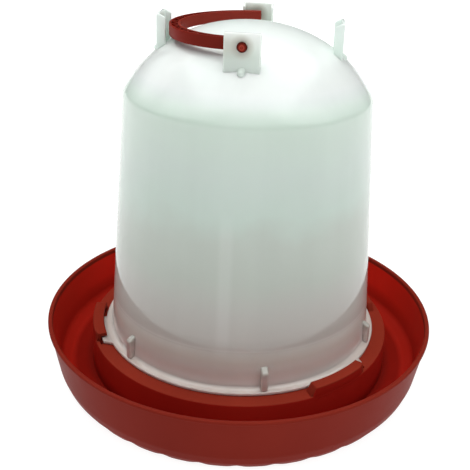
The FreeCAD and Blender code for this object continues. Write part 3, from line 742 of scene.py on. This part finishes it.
def tank_outline():
    """The closed section of the bell wall: taper, moulded step, rounded shoulder and crown."""
    crown_z = APEX - CROWN_R
    shoulder_z = crown_z + math.sqrt(CROWN_R ** 2 - SHOULDER_R ** 2)
    taper = (BELL_R - SHOULDER_R) / (shoulder_z - BELL_Z)
    outside = wall_line(shoulder_z, crown_z, taper, 0.0)
    inside = wall_line(shoulder_z, crown_z, taper, TANK_WALL)
    return outside + list(reversed(inside))


def wall_line(shoulder_z, crown_z, taper, inset):
    """One face of the bell wall, from the bottom to the apex, set in from the outside."""
    lean = math.atan(taper)
    sphere = CROWN_R - inset
    round_r = SHOULDER_ROUND - inset

    def radius_at(z):
        return BELL_R - inset / math.cos(lean) - taper * (z - BELL_Z)

    # centre of the shoulder's arc, found by halving: round_r inside the wall line and inside the crown
    low, high = crown_z, shoulder_z
    for _ in range(60):
        z = (low + high) / 2
        r = radius_at(z) - round_r / math.cos(lean)
        if math.hypot(r, z - crown_z) > sphere - round_r:
            high = z
        else:
            low = z
    centre = Vector((r, z))
    heights = [BELL_Z, BELL_Z + 8, BELL_Z + 20, SEAM_Z - SEAM_HALF]
    points = [Vector((radius_at(z_wall), z_wall)) for z_wall in heights]
    if inset == 0:
        points += [Vector((radius_at(SEAM_Z) + out, SEAM_Z + up)) for up, out in SEAM_RIDGE]
    above_seam = SEAM_Z + SEAM_HALF
    wall_top = centre.y + round_r * math.sin(lean)
    for step in range(1, 12):
        z_wall = above_seam + (wall_top - above_seam) * step / 11
        points.append(Vector((radius_at(z_wall), z_wall)))
    top = math.atan2(centre.y - crown_z, centre.x)
    for step in range(1, 13):
        angle = lean + (top - lean) * step / 12
        points.append(centre + Vector((math.cos(angle), math.sin(angle))) * round_r)
    for step in range(1, 33):
        angle = top + (math.pi / 2 - top) * step / 32
        r = sphere * math.cos(angle)
        points.append(Vector((r, crown_z + sphere * math.sin(angle) - crown_sag(r))))
    points[-1].x = 0.0
    return points


def make_bell_shell():
    shell = turned("bell_shell_moulding", tank_outline(), 288)
    return finish_piece(shell, "bell", TANK_WHITE, ["bell_shell"])


def make_bell_flange():
    """Skirt, flange with a hollow fillet up to the wall, and three tapered lugs."""
    edge_in = FLANGE_R - FLANGE_EDGE
    edge = rounded([
        (SKIRT_BORE, SKIRT_Z, 0.8), (SKIRT_R, SKIRT_Z, 0.8), (SKIRT_R, FLANGE_UNDER, 0.6),
        (FLANGE_R, FLANGE_UNDER, 0.7), (FLANGE_R, FLANGE_TOP, 0.9), (edge_in, FLANGE_TOP, 0),
        (SKIRT_BORE, BELL_Z + 1.5, 0),
    ], 4)
    wide, high = edge_in - BELL_R + 0.1, BELL_Z + 1.4 - FLANGE_TOP
    fillet = []
    for step in range(1, 9):
        angle = math.pi / 2 * step / 8
        fillet.append(Vector((edge_in - wide * math.sin(angle), FLANGE_TOP + high * (1 - math.cos(angle)))))
    flange = turned("bell_flange_moulding", edge[:-1] + fillet + edge[-1:], 480, lug_reach)
    return finish_piece(flange, "bell", TANK_WHITE, ["bell_flange"])


def lug_reach(radius, height, angle):
    """Draw the flange's edge out into three lugs, square at their first end and tapered at the last."""
    bearing = (math.degrees(angle) + 90.0) % THIRD
    near = min(1.0, max(0.0, (bearing - LUG_START) / LUG_RISE))
    far = min(1.0, max(0.0, (LUG_END - bearing) / LUG_TAPER))
    at_edge = FLANGE_UNDER - 0.1 < height < FLANGE_TOP + 0.1
    if radius > FLANGE_R - 0.85 and at_edge:
        radius += (LUG_R - FLANGE_R) * min(near, far)
    return radius, height


def make_buttresses():
    ribs = [buttress(BUTTRESS_START + 360 / BUTTRESSES * number) for number in range(BUTTRESSES)]
    moulding = join("bell_buttress_moulding", ribs)
    return finish_piece(moulding, "bell", BUTTRESS_WHITE, ["bell_buttresses"])


def buttress(bearing):
    """A short rib against the wall: flat sides, top sloping down and out."""
    low, inner = BELL_Z - 2.2, BELL_R - 2.0
    section = [(inner, low), (BUTTRESS_R, low), (BUTTRESS_R, BELL_Z + 15.5), (inner, BELL_Z + 19.5)]
    rings = [[(x, y, z) for x, z in section] for y in (-BUTTRESS_HALF, BUTTRESS_HALF)]
    rib = from_rings("buttress", rings, caps=True)
    rib.data.transform(turn_to(bearing))
    return soften(rib, 1.7, 6)


def crown_sag(radius):
    """How far the crown's flattened middle lies under its sphere."""
    return CROWN_FLAT * max(0.0, 1.0 - (radius / CROWN_FLAT_R) ** 2) ** 2


def crown_height(x, y):
    """Height of the crown's outside above a point."""
    return APEX - CROWN_R + math.sqrt(CROWN_R ** 2 - x * x - y * y) - crown_sag(math.hypot(x, y))


def make_ear(side_name, turn, pierced):
    """A face plate with a short wall behind each edge, its foot sunk in the crown."""
    half, face, side = EAR_HALF, EAR_FACE, EAR_SIDE
    back, plate_back = EAR_DEEP - EAR_FACE, EAR_PLATE - EAR_FACE
    plan = [(-half, -face), (half, -face), (half, back), (half - side, back), (half - side, plate_back),
            (side - half, plate_back), (side - half, back), (-half, back)]
    foot = [(x, y, crown_height(x, y) - EAR_SUNK) for x, y in plan]
    plate = from_rings("plate", [foot, [(x, y, EAR_TOP) for x, y in plan]], caps=True)
    # the tops of the side walls slope down towards the crown
    wedge = box_mesh("wedge", (-half - 5, 0, 0), (half + 5, 14, 8))
    corner = Matrix.Translation(Vector((0, plate_back, EAR_TOP)) * MM)
    wedge.data.transform(corner @ Matrix.Rotation(-EAR_SLOPE, 4, "X"))
    boolean(plate, wedge, "DIFFERENCE")
    soften(plate, 0.7, 3, 50)
    if pierced:
        boolean(plate, round_bar("hole", EAR_HOLE_R, 14, (0, -face - 3, PIVOT)), "DIFFERENCE")
    boolean(plate, ear_knob(), "UNION")
    ear = join("ear_" + side_name + "_moulding", [plate])
    ear.data.transform(Matrix.Rotation(math.radians(turn), 4, "Z"))
    # the pierced ears take the copy with painted shade, the side ears the copy with painted light
    white = SHADED_EAR_WHITE if pierced else LIT_SIDE_EAR_WHITE
    return finish_piece(ear, "bell", white, ["ear_" + side_name])


def round_bar(name, radius, length, start, steps=48):
    """A plain bar pointing towards +Y from a start point, used for cutting."""
    x, y, z = start
    angles = [2 * math.pi * k / steps for k in range(steps)]
    rings = [[(x + radius * math.cos(a), y + along, z + radius * math.sin(a)) for a in angles]
             for along in (0.0, length)]
    return from_rings(name, rings, caps=True)


def ear_knob():
    """A small round-ended nub that runs down the crown from the foot of the ear's face plate."""
    tail, nose = Vector((0, KNOB_BACK - EAR_FACE)), Vector((0, -KNOB_FRONT - EAR_FACE))
    start = Vector((0, tail.y, crown_height(*tail)))
    end = Vector((0, nose.y, crown_height(*nose)))
    way = (end - start).normalized()
    side = Vector((1, 0, 0))
    up = way.cross(side)

    def circle(centre, radius):
        turns = [2 * math.pi * k / 32 for k in range(32)]
        return [centre + (side * math.cos(turn) + up * math.sin(turn)) * radius for turn in turns]

    rings = [circle(start, KNOB_R), circle(end, KNOB_R)]
    for step in range(1, 11):
        angle = math.pi / 2 * step / 10
        rings.append(circle(end + way * KNOB_R * math.sin(angle), max(KNOB_R * math.cos(angle), 0.02)))
    return from_rings("knob", rings, caps=True)


# ---- handle -----------------------------------------------------------------------------------

def strap_radii(bearing):
    """Outer and inner radius of the strap at a bearing from -X, in radians."""
    inner_r = math.hypot(STRAP_ARM, STRAP_SHIFT)
    inner = math.sqrt(inner_r ** 2 - (STRAP_SHIFT * math.sin(bearing)) ** 2) - STRAP_SHIFT * math.cos(bearing)
    return STRAP_R, inner


def strap_point(radius, bearing, height):
    """A point at a bearing from -X, in radians."""
    return (-radius * math.cos(bearing), -radius * math.sin(bearing), height)


def make_handle():
    """A half-round strap with two walls and a web, braced by slanting ribs, and a solid end on each arm."""
    wall, web, half = STRAP_WALL, WEB_HALF, STRAP_HALF
    rings = []
    count = 96
    for step in range(count + 1):
        bearing = -STRAP_REACH + 2 * STRAP_REACH * step / count
        outer, inner = strap_radii(bearing)
        section = rounded([
            (outer, -half, 0.6), (outer, half, 0.6), (outer - wall, half, 0.6), (outer - wall, web, 0.7),
            (inner + wall, web, 0.7), (inner + wall, half, 0.6), (inner, half, 0.6), (inner, -half, 0.6),
            (inner + wall, -half, 0.6), (inner + wall, -web, 0.7), (outer - wall, -web, 0.7),
            (outer - wall, -half, 0.6),
        ], 3)
        rings.append([strap_point(r, bearing, z) for r, z in section])
    pieces = [from_rings("strap", rings, caps=True), arm_end(-1), arm_end(1)]
    pieces += zigzag_ribs()
    handle = join("handle_moulding", pieces)
    handle.data.transform(at_pivot() @ Matrix.Translation((0, 0, STRAP_RISE * MM)))
    return finish_piece(handle, "handle", HANDLE_RED, ["handle"])


def at_pivot():
    """From the handle's own middle to its pivot line, drooping a little towards -X."""
    return Matrix.Translation((0, 0, PIVOT * MM)) @ Matrix.Rotation(-DROOP, 4, "Y")


def arm_end(sign):
    """The solid squared end of one arm, round its stud."""
    half, inset = STRAP_HALF, 0.02
    rings = []
    for step in range(5):
        bearing = sign * (ARM_FROM + (ARM_TO - ARM_FROM) * step / 4)
        outer, inner = strap_radii(bearing)
        rings.append([strap_point(r, bearing, z) for r, z in
                      ((outer - inset, inset - half), (outer - inset, half - inset),
                       (inner + inset, half - inset), (inner + inset, inset - half))])
    tip = ((STRAP_R, -half), (STRAP_R, half), (STRAP_ARM, half), (STRAP_ARM, -half))
    rings.append([(ARM_TIP, -sign * r, z) for r, z in tip])
    return soften(from_rings("arm", rings, caps=True), 0.6)


def zigzag_ribs():
    """Slanting ribs that brace the strap's two walls, above and below the web."""
    ribs = []
    height = STRAP_HALF - BRACE_SHY
    for step in range(BRACES):
        first = -BRACE_REACH + 2 * BRACE_REACH * step / BRACES
        last = -BRACE_REACH + 2 * BRACE_REACH * (step + 1) / BRACES
        ends = (first, last) if step % 2 else (last, first)
        outer = strap_radii(ends[0])[0] - BRACE_SUNK
        inner = strap_radii(ends[1])[1] + BRACE_SUNK
        start = Vector(strap_point(outer, ends[0], 0)).to_2d()
        end = Vector(strap_point(inner, ends[1], 0)).to_2d()
        way = (end - start).normalized()
        side = Vector((way.y, -way.x)) * BRACE_HALF
        corners = [start - side, start + side, end + side, end - side]
        rings = [[(c.x, c.y, z) for c in corners] for z in (-height, height)]
        ribs.append(from_rings("rib", rings, caps=True))
    return ribs


def make_stud(side_name, sign):
    """A stud: shaft through the ear, domed snap head outside it with a small dimple."""
    shoulder = EAR_FACE + 0.15 - STUD_FOOT
    rim = shoulder + 0.35
    profile = [(0.0, 0.0), (STUD_R - 0.3, 0.0), (STUD_R, 0.4), (STUD_R, shoulder),
               (STUD_HEAD_R - 0.3, shoulder), (STUD_HEAD_R, rim)]
    for step in range(1, 9):
        angle = math.pi / 2 * step / 10
        profile.append((STUD_HEAD_R * math.cos(angle), rim + STUD_DOME * math.sin(angle)))
    profile += [(0.9, shoulder + 3.0), (0.6, shoulder + 2.7), (0.0, shoulder + 2.6)]
    rings = []
    for step in range(48):
        angle = 2 * math.pi * step / 48
        rings.append([(r * math.cos(angle), r * math.sin(angle), z) for r, z in profile])
    stud = from_rings("pivot_stud_" + side_name + "_moulding", rings, closed_way=True, closed_rings=False)
    lay = Matrix.Rotation(math.radians(90 * sign), 4, "X")
    stud.data.transform(at_pivot() @ lay @ Matrix.Translation((0, 0, STUD_FOOT * MM)))
    return finish_piece(stud, "handle", STUD_RED, ["pivot_stud_" + side_name])


# ---- stage ------------------------------------------------------------------------------------

FLOOR_DROP = 0.05                       # the floor lies this far, in millimetres, under the tray's foot
FLOOR_RADII = (1.0, 500.0, 2000.0, 12000.0)
GLOW, GLOW_R = (0.92, 1.15), (250.0, 900.0)     # how strongly the floor glows, near and far
# each light: name, place, aim and size in metres, power in watts, colour
LIGHTS = (
    ("overhead", (0.0, 0.1, 2.2), (0, 0, 0.1), (3.0, 3.0), 78, (0.93, 1.0, 0.96)),
    ("front_fill", (0.2, -2.4, 1.2), (0, 0, 0.1), (2.4, 1.2), 5, (1, 1, 1)),
    ("left_fill", (-1.9, -0.9, 1.5), (0, 0, 0.12), (1.5, 1.5), 4.5, (1, 1, 1)),
    ("back_fill", (-1.6, 1.0, 1.5), (0, 0, 0.05), (1.2, 1.2), 5, (1, 1, 1)),
    ("right_fill", (1.9, -0.8, 1.5), (0, 0, 0.12), (1.5, 1.5), 7.5, (1, 1, 1)),
)
WORLD_GLOW = 1.1
SENSOR, LENS, SHIFT_X, SHIFT_Y = 36.0, 60.7, -0.0605, -0.1333
CAMERA_PLACE = (0.0546, -0.6719, 0.4413)
# the camera's swing round the object from -Y, how far it looks down, and its roll
SWING, TILT, ROLL = math.radians(3.27), math.radians(20.44), math.radians(2.70)


def make_stage():
    """A white floor that glows more the farther it is, so it has no horizon."""
    bearings = range(0, 360, 5)
    rings = [[at_bearing(radius, bearing, -FLOOR_DROP) for bearing in bearings] for radius in FLOOR_RADII]
    floor = from_rings("studio_floor", rings)
    nodes = Nodes("studio_white")
    tone = nodes.ramp(nodes.noise(1.5, 2.0), [(0.3, (0.19, 0.19, 0.19)), (0.7, (0.21, 0.21, 0.21))])
    nodes.link(tone, nodes.shader.inputs["Base Color"])
    glow = nodes.range(nodes.length(), GLOW[0], GLOW[1], GLOW_R[0] * MM, GLOW_R[1] * MM)
    nodes.link(glow, nodes.shader.inputs["Emission Strength"])
    nodes.set(Roughness=0.9, Specular_IOR_Level=0.1, Emission_Color=(1, 1, 1, 1))
    floor.data.materials.append(nodes.material)


def area_light(name, place, aim, size, power, colour):
    light = bpy.data.lights.new(name, "AREA")
    light.shape, light.size, light.size_y = "RECTANGLE", size[0], size[1]
    light.energy, light.color = power, colour
    lamp = bpy.data.objects.new(name, light)
    lamp.location = place
    lamp.rotation_euler = (Vector(aim) - Vector(place)).to_track_quat("-Z", "Y").to_euler()
    bpy.context.scene.collection.objects.link(lamp)


def make_lights():
    """Area lights, and a white world that only the camera sees."""
    world = bpy.data.worlds.new("studio")
    world.use_nodes = True
    world.node_tree.nodes["Background"].inputs["Color"].default_value = (1, 1, 1, 1)
    world.node_tree.nodes["Background"].inputs["Strength"].default_value = WORLD_GLOW
    world.cycles_visibility.diffuse = False
    world.cycles_visibility.glossy = False
    bpy.context.scene.world = world
    for light in LIGHTS:
        area_light(*light)


def make_camera():
    """The viewing direction is a swing round the object, a tilt down and a small roll."""
    data = bpy.data.cameras.new("camera")
    data.sensor_width, data.lens = SENSOR, LENS
    data.shift_x, data.shift_y = SHIFT_X, SHIFT_Y
    camera = bpy.data.objects.new("camera", data)
    level = Vector((-math.sin(SWING), math.cos(SWING), 0))
    forward = level * math.cos(TILT) + Vector((0, 0, -math.sin(TILT)))
    right = forward.cross(Vector((0, 0, 1))).normalized()
    up = right.cross(forward)
    right_rolled = right * math.cos(ROLL) + up * math.sin(ROLL)
    up_rolled = up * math.cos(ROLL) - right * math.sin(ROLL)
    axes = Matrix((right_rolled, up_rolled, -forward)).transposed()
    camera.matrix_world = Matrix.Translation(CAMERA_PLACE) @ axes.to_4x4()
    bpy.context.scene.collection.objects.link(camera)
    bpy.context.scene.camera = camera


make_camera()
make_tray()
make_foot_ribs()
make_locking_ring()
make_bell_shell()
make_bell_flange()
make_buttresses()
make_ear("front", 0, pierced=True)
make_ear("right", 90, pierced=False)
make_ear("back", 180, pierced=True)
make_ear("left", 270, pierced=False)
make_handle()
make_stud("front", 1)
make_stud("back", -1)
make_stage()
make_lights()
bpy.context.scene.view_settings.view_transform = "Standard"
